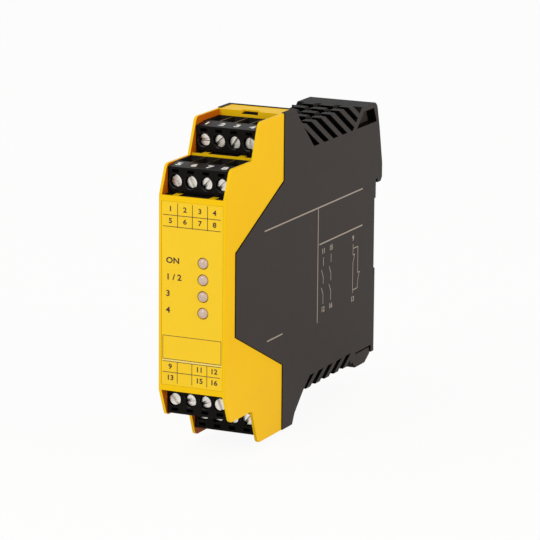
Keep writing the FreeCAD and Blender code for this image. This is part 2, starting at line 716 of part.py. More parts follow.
spring = new_body("catch_spring", y=back(s.spring_depth), z=s.cavity_low)
wire_out = s.spring_size / 2 - s.wire_size
wire = sketch(spring, "wire", "XZ_Plane", [box(wire_out, wire_out + s.wire_size, Size(0), s.wire_size)])
coil = spring.newObject("PartDesign::AdditiveHelix", "coil")
coil.Profile = wire
coil.ReferenceAxis = (wire, ["V_Axis"])
coil.Mode = "height-turns-growth"
bind(coil, "Height", arm_low - s.cavity_low - s.wire_size)
bind(coil, "Turns", s.spring_turns)

# ---- boards, lights, relays and capacitors ----

board = new_body("main_board")
lamp_board_rear = s.lamp_board_depth + s.board_thick
neck_rear = lamp_board_rear + s.board_neck
gap = s.board_edge_gap
first_rear = s.first_face + header_end
second_rear = first_rear + s.tier_back
board_side = [
    (lamp_board_rear, middle + s.board_front_half),
    (neck_rear, middle + s.board_front_half),
    (neck_rear + s.board_flare, middle + s.board_mid_half),
    (first_rear + s.pin_free, middle + s.board_mid_half),
    (first_rear + s.pin_free, middle + second_half - s.cover_wall - gap),
    (s.cover_rear + gap, middle + second_half - s.cover_wall - gap),
    (second_rear + s.pin_free, middle + second_half),
    (second_rear + s.pin_free, middle + s.board_top_half),
    (s.board_top_rear, middle + s.board_top_half),
    (s.slope_foot, middle + s.board_rear_half),
    (s.board_rear, middle + s.board_rear_half),
]
board_low = s.board_gap - inner_half
board_high = board_low + s.board_thick
pad(board, "plate", "YZ_Plane", [from_front(mirrored(board_side))], board_low, board_high)
pin_holes = []
half_hole = s.pin_hole / 2
for face, seat in TIERS.values():
    for sign in SIDES.values():
        for step in range(4):
            bend = back(face + header_end + s.pin_free + s.pin_size / 2 + s.pin_step * step)
            row = middle + sign * (seat + s.pin_up)
            pin_holes.append(box(bend - half_hole, bend + half_hole, row - half_hole, row + half_hole))
pocket(board, "pin_holes", "YZ_Plane", pin_holes, board_low - s.reach, board_high + s.reach)

lamp_board = new_body("led_board")
lamp_top = middle + s.lamp_up + s.lamp_pitch
lamp_low = middle + s.lamp_up - s.lamp_pitch * s.lamp_count
profile = box(board_low, s.lamp_across + s.lamp_pitch, lamp_low, lamp_top)
pad(lamp_board, "plate", "XZ_Plane", [profile], back(s.lamp_board_depth), back(lamp_board_rear))

lights = []
for index, up in enumerate(lamps, 1):
    lens = doc.addObject("Part::Cylinder", f"led_{index}_lens")
    bind(lens, "Radius", s.lamp_size / 2)
    bind(lens, "Height", s.lamp_board_depth - s.lamp_shoulder)
    dome = doc.addObject("Part::Cone", f"led_{index}_dome")
    bind(dome, "Radius1", s.lamp_size / 2)
    bind(dome, "Radius2", s.lamp_tip / 2)
    bind(dome, "Height", s.lamp_shoulder + s.lamp_out)
    for solid, start in ((lens, s.lamp_board_depth), (dome, s.lamp_shoulder)):
        solid.Placement = FreeCAD.Placement(
            FreeCAD.Vector(0, 0, 0), FreeCAD.Rotation(FreeCAD.Vector(1, 0, 0), 90)
        )
        for axis, place in zip("xyz", (s.lamp_across, back(start), middle + up)):
            bind(solid, f"Placement.Base.{axis}", place)
    light = doc.addObject("Part::MultiFuse", f"led_{index}")
    light.Shapes = [lens, dome]
    lights.append(light)
leds = doc.addObject("Part::Compound", "leds")
leds.Label = "leds"
leds.Links = lights
pieces.append(leds)

for name, sign in (("relay_k1", 1), ("relay_k2", -1)):
    relay = new_body(name)
    near = middle + sign * s.relay_apart / 2
    far = near + sign * s.relay_high
    profile = box(back(s.relay_front), back(s.relay_front + s.relay_long), near, far)
    pad(relay, "case", "YZ_Plane", [profile], board_high, board_high + s.relay_wide)

cans = new_body("capacitors")
for index, sign in enumerate(SIDES.values(), 1):
    ring = [(back(s.can_depth), middle + sign * s.can_apart / 2, s.can_size)]
    pad(cans, f"can_{index}", "YZ_Plane", [], board_high, board_high + s.can_long, ring)

# ---- plugs, their headers, screws, cages and contacts ----

# screws are numbered from the left; turn is the slot's angle, slack means backed out
SLOTS = {
    "upper_front": [(-55, 0), (-65, 0), (45, 0), (45, 0)],
    "upper_back": [(2, 0), (40, 0), (55, 0), (85, 0)],
    "lower_front": [(-50, 1), (10, 0), (25, 0), (-70, 1)],
    "lower_back": [(20, 0), (-30, 0), (65, 0), (50, 0)],
}
nose_end = s.tower_deep + s.nose_long
head_end = s.head_recess + s.head_high
cage_half = s.cage_wide / 2
room = s.cage_gap
bar_face = head_end + s.shank_long + s.bar_gap
bar_rear = bar_face + s.contact_thick
leg_low = s.feet + s.plug_gap
leg_top = leg_low + s.leg_thick
half_pin = s.pin_size / 2
tongue_top = s.pin_up - half_pin - s.contact_gap
cage_top = s.well_up + s.cage_high / 2
cage_rear = s.cage_start + s.cage_long
riser = s.tower_deep + s.riser_gap

# the plug's moulding: tower with wells, test holes and funnels, and the nose that mates with a header
plug = new_body("plug", shown=False)
half_plug = inner_half - s.plug_gap
profile = [
    (Size(0), s.feet),
    (Size(0), s.face_high),
    (s.strip_deep, s.plug_high),
    (s.tower_deep, s.plug_high),
    (s.tower_deep, s.feet),
]
pad(plug, "tower", "YZ_Plane", [profile], -1 * half_plug, half_plug)
nose = box(s.tower_deep - s.bite, nose_end, s.feet, s.nose_high)
pad(plug, "nose", "YZ_Plane", [nose], -0.5 * s.nose_wide, 0.5 * s.nose_wide)
half_foot = s.foot_wide / 2
feet = [box(x - half_foot, x + half_foot, Size(0), s.feet) for x in (-1 * s.foot_across, s.foot_across)]
pad(plug, "feet", "XZ_Plane", feet, Size(0), s.tower_deep - s.foot_short)
wells = [(x, s.well_up, s.well_size) for x in poles]
pocket(plug, "wells", "XZ_Plane", [], -1 * s.reach, head_end, wells)
necks = [octagon(x, s.well_up, s.shank_size + 2 * s.shank_fit) for x in poles]
pocket(plug, "necks", "XZ_Plane", necks, -1 * s.reach, s.cage_start)
half_test = s.test_wide / 2
test_low = s.test_up - s.test_high / 2
tests = [box(x - half_test, x + half_test, test_low, test_low + s.test_high) for x in poles]
pocket(plug, "test_holes", "XZ_Plane", tests, -1 * s.reach, s.test_deep)
cage_front = s.cage_start - s.cage_travel - room
cage_rooms = [box(x - cage_half - room, x + cage_half + room, cage_front, cage_rear + room) for x in poles]
pocket(plug, "cage_rooms", "XY_Plane", cage_rooms, -1 * s.reach, cage_top + room)
half_slot = s.contact_wide / 2 + room
slots = [box(x - half_slot, x + half_slot, cage_rear, riser + s.leg_thick + room) for x in poles]
pocket(plug, "contact_slots", "XY_Plane", slots, -1 * s.reach, tongue_top)
bores = [box(x - half_slot, x + half_slot, leg_top, s.pin_up + half_pin + room) for x in poles]
pocket(plug, "pin_bores", "XZ_Plane", bores, riser - room, nose_end + s.reach)
half_mouth = s.mouth_wide / 2
half_funnel = s.pole_pitch / 2 - s.funnel_rim
for index, x in enumerate(poles, 1):
    top = box(x - half_funnel, x + half_funnel, s.strip_deep + s.plug_gap, s.tower_deep - s.funnel_rim)
    mouth = box(x - half_mouth, x + half_mouth, bar_rear, bar_rear + s.mouth_long)
    funnel = plug.newObject("PartDesign::SubtractiveLoft", f"funnel_{index}")
    funnel.Profile = sketch(plug, f"funnel_top_{index}", "XY_Plane", [top], offset=s.plug_high)
    funnel.Sections = [sketch(plug, f"funnel_mouth_{index}", "XY_Plane", [mouth], offset=cage_top)]
    funnel.Ruled = True
    cuts.append(funnel)

# four contacts: a bar through each cage, a leg along the plug's underside and a tongue in the nose
contacts = new_body("contacts", shown=False)
tongue_end = nose_end - s.tongue_short
strip = [
    (bar_face, leg_low),
    (riser + s.leg_thick, leg_low),
    (riser + s.leg_thick, leg_low + s.leg_rise - s.leg_thick),
    (tongue_end, tongue_top - s.leg_thick),
    (tongue_end, tongue_top),
    (riser, tongue_top),
    (riser, leg_top),
    (bar_rear, leg_top),
    (bar_rear, cage_top),
    (bar_face, cage_top),
]
half_contact = s.contact_wide / 2
for index, x in enumerate(poles, 1):
    pad(contacts, f"contact_{index}", "YZ_Plane", [strip], x - half_contact, x + half_contact)

# the header: a box with a socket for the nose, and a rear wall that holds the pins
header = new_body("header", shown=False)
profile = box(s.header_front, header_end, Size(0), s.header_high)
pad(header, "block", "YZ_Plane", [profile], -0.5 * s.header_wide, 0.5 * s.header_wide)
half_socket = s.nose_wide / 2 + s.nose_gap
socket = box(-1 * half_socket, half_socket, s.feet - s.nose_gap, s.nose_high + s.nose_gap)
pocket(header, "socket", "XZ_Plane", [socket], s.header_front - s.reach, header_end - s.header_rear)
holes = [box(x - half_pin, x + half_pin, s.pin_up - half_pin, s.pin_up + half_pin) for x in poles]
pocket(header, "pin_holes", "XZ_Plane", holes, s.header_front, header_end + s.reach)

# each pin leaves the header and bends towards the board, on the module's left
pin_sets = {}
for word, sign in SIDES.items():
    pin_sets[word] = new_body(f"pins_{word}", shown=False)
    bends = []
    for index in range(4):
        x = -1 * sign * poles[3 - index]
        start = header_end - s.header_rear - s.pin_reach
        bend = header_end + s.pin_free + s.pin_step * index
        near = x - sign * half_pin
        far = x + sign * half_pin
        tip = sign * board_low
        bends.append([
            (near, start),
            (far, start),
            (far, bend + s.pin_size),
            (tip, bend + s.pin_size),
            (tip, bend),
            (near, bend),
        ])
    pad(pin_sets[word], "pins", "XY_Plane", bends, s.pin_up - half_pin, s.pin_up + half_pin)

# a screw and a cage, on their own axis
screw = new_body("screw", shown=False)
pad(screw, "head", "XZ_Plane", [], s.head_recess, head_end, [(Size(0), Size(0), s.head_size)])
shank = octagon(Size(0), Size(0), s.shank_size * math.cos(EIGHTH))
pad(screw, "shank", "XZ_Plane", [shank], head_end, head_end + s.shank_long)
slot = box(-1 * s.head_size, s.head_size, -0.5 * s.slot_wide, 0.5 * s.slot_wide)
pocket(screw, "slot", "XZ_Plane", [slot], Size(0), s.head_recess + s.slot_deep)
cage = new_body("cage", shown=False)
inner = cage_half - s.cage_side
rings = [
    box(-1 * cage_half, cage_half, s.cage_start, cage_rear),
    box(-1 * inner, inner, s.cage_start + s.cage_end, cage_rear - s.cage_end),
]
pad(cage, "ring", "XY_Plane", rings, -0.5 * s.cage_high, 0.5 * s.cage_high)
thread = octagon(Size(0), Size(0), s.shank_size + s.shank_fit)
pocket(cage, "thread", "XZ_Plane", [thread], s.cage_start - s.reach, s.cage_start + s.cage_end + s.bite)

for word, sign in SIDES.items():
    for tier, (face, seat) in TIERS.items():
        place = f"{word}_{tier}"
        turned = 0 if sign > 0 else 180
        frame = {"y": back(face), "z": middle + sign * seat, "turned": turned}
        copy_of(plug, f"plug_{place}", **frame)
        copy_of(contacts, f"contacts_{place}", **frame)
        copy_of(header, f"header_{place}", **frame)
        copy_of(pin_sets[word], f"pins_{place}", **frame)
        for index, (turn, slack) in enumerate(SLOTS[place]):
            axis = {"x": poles[index], "z": middle + sign * (seat + s.well_up)}
            out = face - slack * s.backed_out
            copy_of(screw, f"screw_{place}_{index + 1}", y=back(out), turned=-turn, **axis)
            copy_of(cage, f"cage_{place}_{index + 1}", y=back(face), **axis)

# ---- checks and files ----

doc.recompute()
for item in doc.Objects:
    if "Invalid" in item.State or "Error" in item.State:
        raise RuntimeError(f"{item.Label} failed: {item.State}")
for cut in cuts:
    if cut.Shape.Volume > cut.BaseFeature.Shape.Volume - 0.01:
        raise RuntimeError(f"{cut.Label} cuts nothing")
shapes = {piece.Label: Part.getShape(piece) for piece in pieces}
for label, shape in shapes.items():
    if shape.isNull() or not shape.isValid() or shape.Volume <= 0:
        raise RuntimeError(f"{label} has no sound shape")
os.makedirs("parts", exist_ok=True)
for label, shape in shapes.items():
    shape.exportStep(f"parts/{label}.step")
    print(f"{label}: {len(shape.Solids)} solids, {shape.Volume:.1f} mm3")
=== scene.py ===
import math

import bmesh
import bpy
from mathutils import Matrix, Vector


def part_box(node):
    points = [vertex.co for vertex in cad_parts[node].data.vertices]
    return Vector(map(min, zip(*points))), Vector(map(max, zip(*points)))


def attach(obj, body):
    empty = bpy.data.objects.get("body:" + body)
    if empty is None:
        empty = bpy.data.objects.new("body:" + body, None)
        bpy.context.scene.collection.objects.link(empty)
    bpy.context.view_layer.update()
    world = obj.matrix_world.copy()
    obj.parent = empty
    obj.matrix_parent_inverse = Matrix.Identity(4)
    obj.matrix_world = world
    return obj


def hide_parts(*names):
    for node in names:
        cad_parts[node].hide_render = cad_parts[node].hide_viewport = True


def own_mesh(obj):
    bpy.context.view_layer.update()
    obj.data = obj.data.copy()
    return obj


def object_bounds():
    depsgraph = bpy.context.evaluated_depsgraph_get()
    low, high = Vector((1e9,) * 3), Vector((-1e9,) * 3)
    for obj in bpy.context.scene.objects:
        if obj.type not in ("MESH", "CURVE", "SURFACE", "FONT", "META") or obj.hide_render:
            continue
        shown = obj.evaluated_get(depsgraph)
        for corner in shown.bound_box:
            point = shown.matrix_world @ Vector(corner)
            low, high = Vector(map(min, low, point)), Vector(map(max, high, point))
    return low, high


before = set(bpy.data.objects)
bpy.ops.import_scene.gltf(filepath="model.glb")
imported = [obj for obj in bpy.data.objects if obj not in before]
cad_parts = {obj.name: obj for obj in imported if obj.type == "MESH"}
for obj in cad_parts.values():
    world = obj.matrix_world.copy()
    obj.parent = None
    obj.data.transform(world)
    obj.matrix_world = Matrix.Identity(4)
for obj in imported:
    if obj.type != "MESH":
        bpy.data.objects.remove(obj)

cad_box = [list(corner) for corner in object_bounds()]
MM = 0.001

# ---- Yellow front cover ----
# One stepped moulding in signal yellow. The tool was spark-eroded, so its faces have a fine even
# texture and its edges are slightly rounded.


def toned(color, share=1.0):
    """An opaque colour, made darker or lighter by a share."""
    return tuple(min(1.0, channel * share) for channel in color) + (1.0,)


class Value:
    """A number in a material's node tree, with the operators that the finishes use."""

    def __init__(self, finish, socket):
        self.finish = finish
        self.socket = socket

    def maths(self, operation, first, second):
        return self.finish.node("ShaderNodeMath", {"operation": operation}, {0: first, 1: second})

    def __add__(self, other):
        return self.maths("ADD", self, other)

    __radd__ = __add__

    def __mul__(self, other):
        return self.maths("MULTIPLY", self, other)

    def __rsub__(self, other):
        return self.maths("SUBTRACT", other, self)

    def __gt__(self, other):
        return self.maths("GREATER_THAN", self, other)


class Finish:
    """A material on the Principled shader, patterned in Object coordinates."""

    def __init__(self, name, color, roughness, metallic=0.0, specular=0.5, coat=0.0):
        self.material = bpy.data.materials.new(name)
        self.material.use_nodes = True
        self.tree = self.material.node_tree
        self.shader = self.tree.nodes["Principled BSDF"]
        self.color = color
        settings = {
            "Base Color": toned(color),
            "Roughness": roughness,
            "Metallic": metallic,
            "Specular IOR Level": specular,
            "Coat Weight": coat,
            "Coat Roughness": 0.1,
        }
        for socket, value in settings.items():
            self.shader.inputs[socket].default_value = value
        coordinates = self.tree.nodes.new("ShaderNodeTexCoord")
        self.place = coordinates.outputs["Object"]
        self.facing = coordinates.outputs["Normal"]

    def node(self, kind, settings, inputs, output=0):
        """A new node with its settings, its inputs linked or set, and one output as a value."""
        made = self.tree.nodes.new(kind)
        for name, value in settings.items():
            setattr(made, name, value)
        for name, value in inputs.items():
            if isinstance(value, Value):
                value = value.socket
            if isinstance(value, bpy.types.NodeSocket):
                self.tree.links.new(value, made.inputs[name])
            else:
                made.inputs[name].default_value = value
        return Value(self, made.outputs[output])

    def noise(self, size, detail=2.0):
        """Noise whose grains measure about `size` metres."""
        inputs = {"Vector": self.place, "Scale": 1 / size, "Detail": detail}
        return self.node("ShaderNodeTexNoise", {}, inputs)

    def across(self, vector):
        """How far a vector reaches to the left or right."""
        reach = self.node("ShaderNodeSeparateXYZ", {}, {"Vector": vector})
        return self.node("ShaderNodeMath", {"operation": "ABSOLUTE"}, {0: reach})

    def mix(self, factor, first, second):
        """A colour between two colours: inputs 6 and 7 and output 2 are the colour sockets."""
        inputs = {"Factor": factor, 6: first, 7: second}
        return self.node("ShaderNodeMix", {"data_type": "RGBA"}, inputs, output=2)

    def shade(self, amount, pattern):
        """The base colour, a little darker and lighter with the pattern."""
        tones = self.mix(pattern, toned(self.color, 1 - amount), toned(self.color, 1 + amount))
        self.set("Base Color", tones)
        return tones

    def bump(self, height, distance):
        """Relief that rises with the height, over a distance in metres."""
        inputs = {"Height": height, "Distance": distance, "Strength": 1.0}
        self.set("Normal", self.node("ShaderNodeBump", {}, inputs))

    def set(self, socket, value):
        """Links a value to a socket of the shader."""
        self.tree.links.new(value.socket, self.shader.inputs[socket])


def textured_plastic(name, color, roughness, specular=0.5, other=None):
    """Moulded plastic with an eroded grain, slight flow marks and a slightly uneven gloss.

    `other` is a second colour that paints light or shade, and the function that gives its share of the
    surface."""
    finish = Finish(name, color, roughness, specular=specular)
    flow = finish.noise(14 * MM, 3.0)
    fine = finish.noise(0.18 * MM, 3.0)
    uneven = flow * 0.7 + fine * 0.3
    main = finish.shade(0.05, uneven)
    if other:
        second, share = other
        # the second colour paints light or shade over the share that the function gives
        painted_tone = finish.mix(uneven, toned(second, 0.92), toned(second))
        finish.set("Base Color", finish.mix(share(finish), main, painted_tone))
    finish.set("Roughness", roughness - 0.06 + finish.noise(3 * MM) * 0.08 + fine * 0.06)
    finish.bump(fine, 0.012 * MM)
    return finish.material


def flat_faces(mesh):
    """Joins the triangles of a bmesh into the flat faces of the real piece."""
    bmesh.ops.dissolve_limit(
        mesh, angle_limit=math.radians(0.5), use_dissolve_boundaries=False,
        verts=mesh.verts, edges=mesh.edges,
    )
    return mesh


def welded(node):
    """A bmesh of a CAD node, with whole faces in the place of its loose triangles."""
    mesh = bmesh.new()
    mesh.from_mesh(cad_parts[node].data)
    bmesh.ops.remove_doubles(mesh, verts=mesh.verts, dist=0.001 * MM)
    return flat_faces(mesh)


def finished(name, mesh, body, material, nodes=()):
    """A shown piece made from a bmesh: it rides its body and stands for its CAD nodes."""
    data = bpy.data.meshes.new(name)
    mesh.to_mesh(data)
    mesh.free()
    data.materials.clear()
    data.materials.append(material)
    piece = bpy.data.objects.new(name, data)
    bpy.context.scene.collection.objects.link(piece)
    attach(piece, body)
    if nodes:
        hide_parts(*nodes)
    return piece


def smooth(piece, angle=40):
    """Smooth shading that keeps flat faces flat between their rounded edges."""
    for face in piece.data.polygons:
        face.use_smooth = True
    piece.data.set_sharp_from_angle(angle=math.radians(angle))
    weighted = piece.modifiers.new("flat faces", "WEIGHTED_NORMAL")
    weighted.keep_sharp = True


def rounded_edges(mesh, width, segments=2, angle=30):
    """Rounds each edge that turns by more than the angle."""
    sharp = [
        edge for edge in mesh.edges
        if len(edge.link_faces) == 2 and edge.calc_face_angle() > math.radians(angle)
    ]
    bmesh.ops.bevel(
        mesh, geom=sharp, offset=width, offset_type="OFFSET", affect="EDGES", segments=segments,
        profile=0.5, material=-1, clamp_overlap=True,
    )
    return mesh


def moulded(node, body, material, edge, segments=2):
    """A CAD node's own shape with rounded edges, in its finish."""
    mesh = rounded_edges(welded(node), edge, segments)
    smooth(finished(node + "_skin", mesh, body, material, [node]))


POCKET_WALL = (9.4 * MM, 10.6 * MM)


def painted_pocket_shade(finish):
    """The thin cheeks inside the plug pockets, whose inner faces get a deep orange-red as painted shade.
    """
    reach = finish.across(finish.place)
    within = (reach > POCKET_WALL[0]) * (POCKET_WALL[1] - reach > 0)
    return within * (finish.across(finish.facing) > 0.6) * 0.9


# the deep orange-red on the pocket cheeks is painted shade
signal_yellow = textured_plastic(
    "signal_yellow", (0.99, 0.60, 0.006), 0.42, specular=0.06, other=((0.60, 0.09, 0.003), painted_pocket_shade)
)
moulded("front_cover", "housing", signal_yellow, 0.22 * MM)

# ---- Black rear housing ----
# The carrier of the module: one glass-filled moulding with louvres above and below and the rail
# hook at its back. It is rougher than the plugs, and the lighter grey of its flat flanks is a painted
# sheen.


def painted_flank_sheen(finish):
    """The faces that look left or right, painted a lighter grey as a sheen; the other faces stay darker.
    """
    return finish.across(finish.facing) > 0.8


# the lighter grey that the flanks get is a painted sheen
shell_black = textured_plastic(
    "shell_black", (0.006, 0.0055, 0.0055), 0.44, specular=0.025, other=((0.054, 0.0495, 0.0485), painted_flank_sheen)
)


def prism(outline, left, right):
    """A bmesh of an outline of (depth, height) points that runs from left to right, in millimetres."""
    mesh = bmesh.new()
    corners = [mesh.verts.new((left * MM, depth * MM, height * MM)) for depth, height in outline]
    pushed = bmesh.ops.extrude_face_region(mesh, geom=[mesh.faces.new(corners)])["geom"]
    moved = [item for item in pushed if isinstance(item, bmesh.types.BMVert)]
    bmesh.ops.translate(mesh, verts=moved, vec=((right - left) * MM, 0, 0))
    bmesh.ops.recalc_face_normals(mesh, faces=mesh.faces)
    return mesh


def cut_away(mesh, cutter):
    """The bmesh with the cutter's shape taken out of it."""
    items = []
    for shape in (mesh, cutter):
        data = bpy.data.meshes.new("cutting")
        shape.to_mesh(data)
        shape.free()
        items.append(bpy.data.objects.new("cutting", data))
        bpy.context.scene.collection.objects.link(items[-1])
    cut = items[0].modifiers.new("cut", "BOOLEAN")
    cut.operation = "DIFFERENCE"
    cut.solver = "EXACT"
    cut.object = items[1]
    shown = items[0].evaluated_get(bpy.context.evaluated_depsgraph_get())
    left_over = bpy.data.meshes.new_from_object(shown)
    result = bmesh.new()
    result.from_mesh(left_over)
    for item in items:
        bpy.data.objects.remove(item)
    bpy.data.meshes.remove(left_over)
    return flat_faces(result)


# the louvre's ridges end lower over the left flank
ABOVE_LOW_RIDGES = [(-58.6, 41.6), (-16.35, 41.6), (-14.2, 46.0), (-58.6, 46.0)]
OUTSIDE, RIDGES_FROM = -12, -4.9
SHELL_EDGE = 0.2 * MM
housing_mesh = cut_away(welded("rear_housing"), prism(ABOVE_LOW_RIDGES, OUTSIDE, RIDGES_FROM))
smooth(finished(
    "rear_housing_skin", rounded_edges(housing_mesh, SHELL_EDGE), "housing", shell_black,
    ["rear_housing"],
))

# ---- Plug-in terminal blocks and their headers ----
# Four glossy black plugs, each with four captive clamp screws at the bottom of round wells, a test
# slot above each well and a wire funnel behind it. Numbers are printed in white on the top strip.

plug_black = textured_plastic("plug_black", (0.0075, 0.0062, 0.0056), 0.3, specular=0.045)
# each plug, and how far the cover's seat reaches in front of it
SEAT_FRONT = {"upper_front": 3.3, "upper_back": 2.3, "lower_back": 2.3, "lower_front": 3.3}
PLUGS = tuple(SEAT_FRONT)
BESIDE_FEET = ((-9.85, -7.1), (-4.9, 4.9), (7.1, 9.85))
# the black skirt that paints the shade under each plug: its height, its depth and how far it stands back
SHADE_SKIRT_HIGH, SHADE_SKIRT_DEEP, SET_BACK = 1.2, 3, 0.15
# the thin black sheets that paint the shade on the seat: their depth behind the plug's front, their
# thickness and their drop below the foot
SHADE_SHEET_DEEP, SHADE_SHEET_THICK, SHADE_SHEET_BELOW = 2, 0.1, 0.1


def plate(front, back, end, other_end):
    """The outline of a rectangle from its depths and heights."""
    return [(front, end), (back, end), (back, other_end), (front, other_end)]


def joined(mesh, extra):
    """Adds the extra bmesh to a mesh."""
    data = bpy.data.meshes.new("extra")
    extra.to_mesh(data)
    extra.free()
    mesh.from_mesh(data)
    bpy.data.meshes.remove(data)


for place, seat_front in SEAT_FRONT.items():
    node = f"plug_{place}"
    plug = rounded_edges(welded(node), 0.1 * MM)
    # a black skirt closes the gap between the two feet and beside them, as painted shade for the shadow
    # under the plug
    low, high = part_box(node)
    side = 1 if place.startswith("upper") else -1
    foot_end = (low[2] if side > 0 else high[2]) / MM
    front = low[1] / MM + SET_BACK
    shade_skirt = plate(front, front + SHADE_SKIRT_DEEP, foot_end + side * SET_BACK, foot_end + side * SHADE_SKIRT_HIGH)
    # thin black sheets on the cover's seat, in front of the plug and between the tracks of its feet, are
    # painted shade where the seat lies dark
    seat = foot_end - side * SHADE_SHEET_BELOW
    shade_sheet = plate(front - seat_front, front + SHADE_SHEET_DEEP, seat - SHADE_SHEET_THICK / 2, seat + SHADE_SHEET_THICK / 2)
    shade_sheets = bmesh.new()
    for left, right in BESIDE_FEET:
        joined(plug, rounded_edges(prism(shade_skirt, left, right), 0.08 * MM))
        joined(shade_sheets, prism(shade_sheet, left, right))
    smooth(finished(node + "_skin", plug, node, plug_black, [node]))
    finished(f"seat_shade_sheet_{place}", shade_sheets, "housing", plug_black)
    moulded(f"header_{place}", "housing", plug_black, 0.08 * MM)

# ---- Clamp screws, cages, contacts and pins ----
# Nickel-plated screws with a straight slot, each turned in its own direction. Plated brass cages rise
# inside the plugs, where tinned contacts meet the tinned pins of the headers.


def plated_metal(name, color, roughness):
    """Plated metal with turning marks and a slight haze."""
    finish = Finish(name, color, roughness, metallic=1.0)
    haze = finish.noise(1.2 * MM, 3.0)
    marks = finish.noise(0.25 * MM, 2.0)
    finish.shade(0.3, haze)
    finish.set("Roughness", roughness - 0.08 + haze * 0.16)
    finish.bump(marks, 0.012 * MM)
    return finish.material


nickel = plated_metal("nickel_plate", (0.78, 0.74, 0.68), 0.28)
SLOT_WIDE, PAST_HEAD = 0.95 * MM, 6 * MM


def wider_slot(mesh):
    """Mills the driver slot of a screw out to its full width, along the slot that is there."""
    head = min(vertex.co.y for vertex in mesh.verts)
    floors = [
        face for face in mesh.faces
        if face.normal.y < -0.99 and 0.3 * MM < face.calc_center_median().y - head < 2 * MM
    ]
    floor = max(floors, key=lambda face: max(edge.calc_length() for edge in face.edges))
    longest = max(floor.edges, key=lambda edge: edge.calc_length())
    along = (longest.verts[1].co - longest.verts[0].co).normalized()
    centre = floor.calc_center_median()
    turn = Matrix.Rotation(math.atan2(along.x, along.z), 4, "Y")
    size = Matrix.Diagonal((SLOT_WIDE, 2 * (centre.y - head), PAST_HEAD, 1))
    milled = Matrix.Translation((centre.x, head, centre.z)) @ turn @ size
    cutter = bmesh.new()
    bmesh.ops.create_cube(cutter, size=1, matrix=milled)
    return cut_away(mesh, cutter)


cage_brass = plated_metal("cage_brass", (0.72, 0.62, 0.4), 0.3)
tin = plated_metal("tin_plate", (0.76, 0.75, 0.72), 0.32)
for place in PLUGS:
    for number in range(1, 5):
        screw = f"screw_{place}_{number}"
        cage = f"cage_{place}_{number}"
        head = rounded_edges(wider_slot(welded(screw)), 0.1 * MM)
        smooth(finished(screw + "_skin", head, screw, nickel, [screw]))
        moulded(cage, cage, cage_brass, 0.1 * MM)
    for node, body in ((f"contacts_{place}", f"plug_{place}"), (f"pins_{place}", "housing")):
        moulded(node, body, tin, 0.05 * MM, segments=1)

# ---- Foot catch and spring ----
# A black slider that clips under the rail. It is pulled down with a screwdriver, against a steel
# spring that stands between it and the housing.

catch_mesh = rounded_edges(welded("foot_catch"), SHELL_EDGE)
# the pull foot widens to cheeks as broad as the housing, under the rear land
CHEEK = [(-2.2, -39.35), (-6.2, -41.7), (-13.8, -41.7), (-15.4, -40.1), (-15.4, -38.8), (-13.8, -37.2),
         (-2.9, -37.2)]
CHEEK_FROM, CHEEK_TO = 4.4, 10.9
for side in (-1, 1):
    joined(catch_mesh, rounded_edges(prism(CHEEK, side * CHEEK_FROM, side * CHEEK_TO), SHELL_EDGE))
smooth(finished("foot_catch_skin", catch_mesh, "foot_catch", shell_black, ["foot_catch"]))
spring_steel = plated_metal("spring_steel", (0.62, 0.61, 0.59), 0.28)
spring = finished(
    "catch_spring_skin", welded("catch_spring"), "housing", spring_steel, ["catch_spring"]
)
smooth(spring)
# the spring stands on the housing; its foot and top are read from its box, and it gets a mesh of its own
foot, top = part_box("catch_spring")
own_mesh(spring)

# ---- Boards, relays and capacitors ----
# Green glass-fibre boards, two sealed force-guided relays and two sleeved capacitors. They stand
# inside the shells and show only through the louvres.

solder_resist = Finish("solder_resist", (0.03, 0.2, 0.08), 0.35)
solder_resist.shade(0.25, solder_resist.noise(1.5 * MM, 4.0))
solder_resist.bump(solder_resist.noise(0.4 * MM), 0.01 * MM)
for node in ("main_board", "led_board"):
    moulded(node, "housing", solder_resist.material, 0.1 * MM, segments=1)
relay_blue = textured_plastic("relay_case", (0.12, 0.2, 0.4), 0.3)
for node in ("relay_k1", "relay_k2"):
    moulded(node, "housing", relay_blue, 0.6 * MM, segments=3)
sleeve = textured_plastic("capacitor_sleeve", (0.05, 0.06, 0.1), 0.25)
moulded("capacitors", "housing", sleeve, 0.5 * MM, segments=3)

# ---- Status lights ----
# Four round-nosed lights of clear epoxy with a pinkish tint, unlit. Each stands on the small board
# behind the front plate and looks out through its own hole.

LIGHT_COUNT = 4
lights_low, lights_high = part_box("leds")
light_radius = (lights_high[0] - lights_low[0]) / 2
dome_radius = light_radius - 0.12 * MM
light_pitch = (lights_high[2] - lights_low[2] - 2 * light_radius) / (LIGHT_COUNT - 1)
dome_height = 1.0 * MM
outline = [
    (dome_radius * math.sin(turn), lights_low[1] + dome_height * (1 - math.cos(turn)))
    for turn in (math.radians(15 * step) for step in range(7))
]
outline += [(dome_radius, lights_high[1]), (0, lights_high[1])]
domes = bmesh.new()
for index in range(LIGHT_COUNT):
    centre = Vector((lights_low[0] + light_radius, 0, lights_low[2] + light_radius + light_pitch * index))
    points = [domes.verts.new(centre + Vector((radius, depth, 0))) for radius, depth in outline]
    lines = [domes.edges.new(pair) for pair in zip(points, points[1:])]
    bmesh.ops.spin(
        domes, geom=points + lines, cent=centre, axis=(0, 1, 0), angle=math.tau, steps=32, use_merge=True
    )
bmesh.ops.remove_doubles(domes, verts=domes.verts, dist=0.001 * MM)
bmesh.ops.recalc_face_normals(domes, faces=domes.faces)
epoxy = Finish("clear_epoxy", (0.60, 0.46, 0.38), 0.2, coat=0.5)
inside = epoxy.noise(1.1 * MM, 3.0)
epoxy.shade(0.3, inside)
epoxy.bump(inside, 0.08 * MM)
smooth(finished("status_lights", domes, "housing", epoxy.material, ["leds"]), 50)

